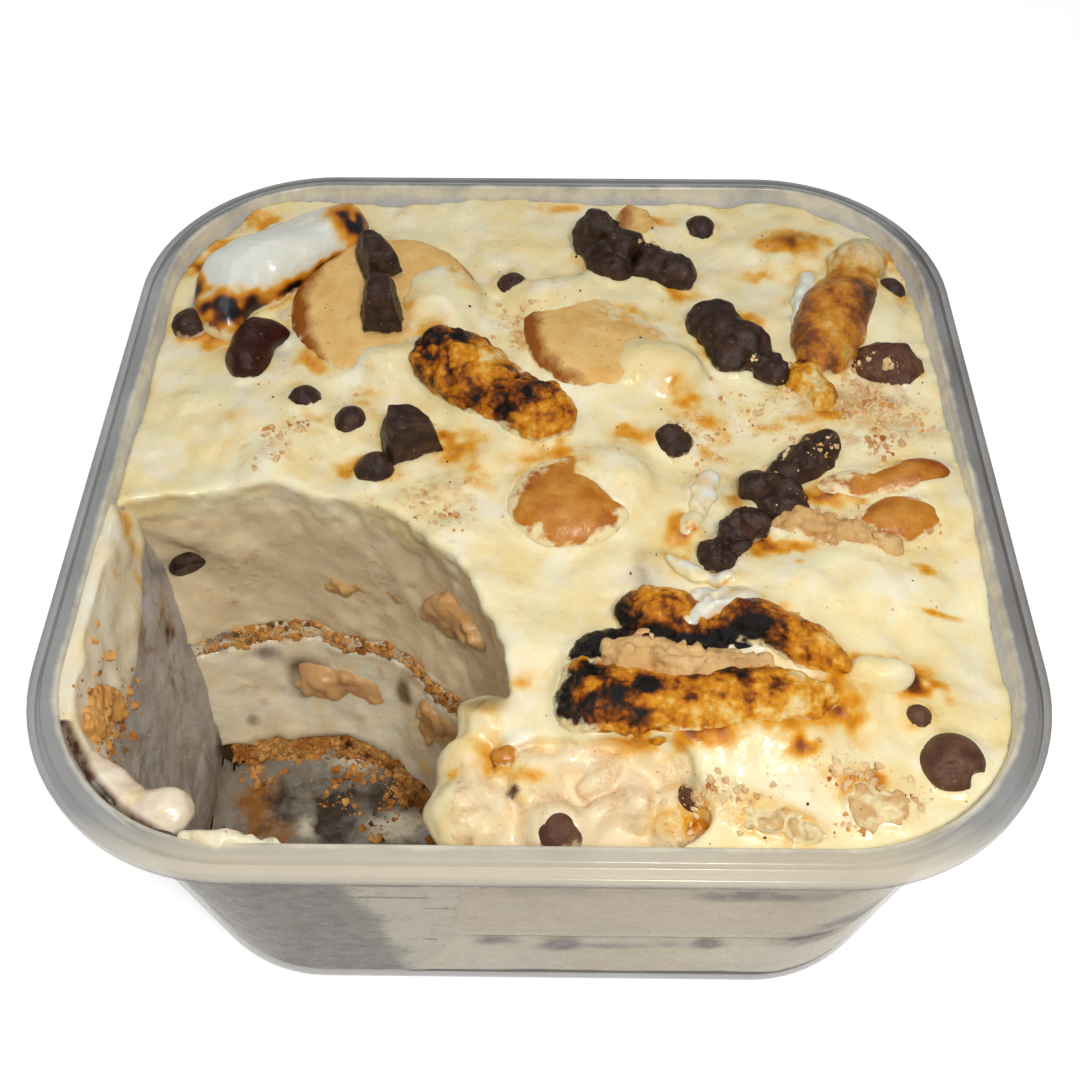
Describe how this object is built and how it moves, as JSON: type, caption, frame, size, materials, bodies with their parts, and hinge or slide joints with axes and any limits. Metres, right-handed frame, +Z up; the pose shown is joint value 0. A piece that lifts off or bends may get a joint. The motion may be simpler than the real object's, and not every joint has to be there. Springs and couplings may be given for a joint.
{
  "type": "banana pudding",
  "caption": "Layered banana pudding in a square plastic tub, topped with toasted marshmallow, wafer and chocolate, with one helping scooped out.",
  "frame": {"origin": "under the middle of the tub, on the plane that its foot ring stands on", "axes": "+Z up, +X to the right and -Y to the front; the scooped hollow is at the front left"},
  "size_m": [0.146, 0.146, 0.0784],
  "materials": {
    "tub_plastic": "translucent grey, frosted",
    "cream": "soft, moist cream with a faint sheen",
    "white_marshmallow": "smooth white with burnt ends",
    "toasted_marshmallow": "glossy amber to black, blistered",
    "caramel_banana": "moist, browned",
    "chocolate": "satin dark chocolate with crumbs",
    "biscuit": "dry, baked, browned edges",
    "dark_crumb": "coarse brown crumb, darker where wet"
  },
  "bodies": {
    "root": {"banana_centre": "caramel_banana", "banana_lower": "caramel_banana", "banana_upper": "caramel_banana", "biscuit_cube": "biscuit", "biscuit_flake_a": "biscuit", "biscuit_flake_b": "biscuit", "chip_back": "chocolate", "chip_centre_a": "chocolate", "chip_centre_b": "chocolate", "chip_centre_c": "chocolate", "chip_front_coated": "chocolate", "chip_front_crevice": "chocolate", "chip_front_notched": "chocolate", "chip_front_wall": "chocolate", "chip_in_cut": "chocolate", "chip_layer": "cream", "chip_left_edge": "chocolate", "chip_left_low": "chocolate", "chip_left_mid": "chocolate", "chip_right_edge": "chocolate", "chip_right_pair_a": "chocolate", "chip_right_pair_b": "chocolate", "chunk_back": "chocolate", "chunk_back_side": "chocolate", "chunk_centre": "chocolate", "chunk_crumbly": "chocolate", "chunk_left_glossy": "chocolate", "chunk_right_back": "chocolate", "chunk_right_lower": "chocolate", "chunk_right_upper": "chocolate", "chunk_wafer_lower": "chocolate", "chunk_wafer_upper": "chocolate", "cream_dollop": "cream", "crumb_band": "biscuit", "crumb_base": "dark_crumb", "crumb_ridge": "biscuit", "marshmallow_centre": "toasted_marshmallow", "marshmallow_front_a": "toasted_marshmallow", "marshmallow_front_b": "toasted_marshmallow", "marshmallow_right": "toasted_marshmallow", "marshmallow_small": "toasted_marshmallow", "marshmallow_white": "white_marshmallow", "pudding_base": "cream", "pudding_top": "cream", "rim_lump": "cream", "tub": "tub_plastic", "wafer_centre": "biscuit", "wafer_left": "biscuit", "wall_cream": "cream"}
  },
  "joints": []
}
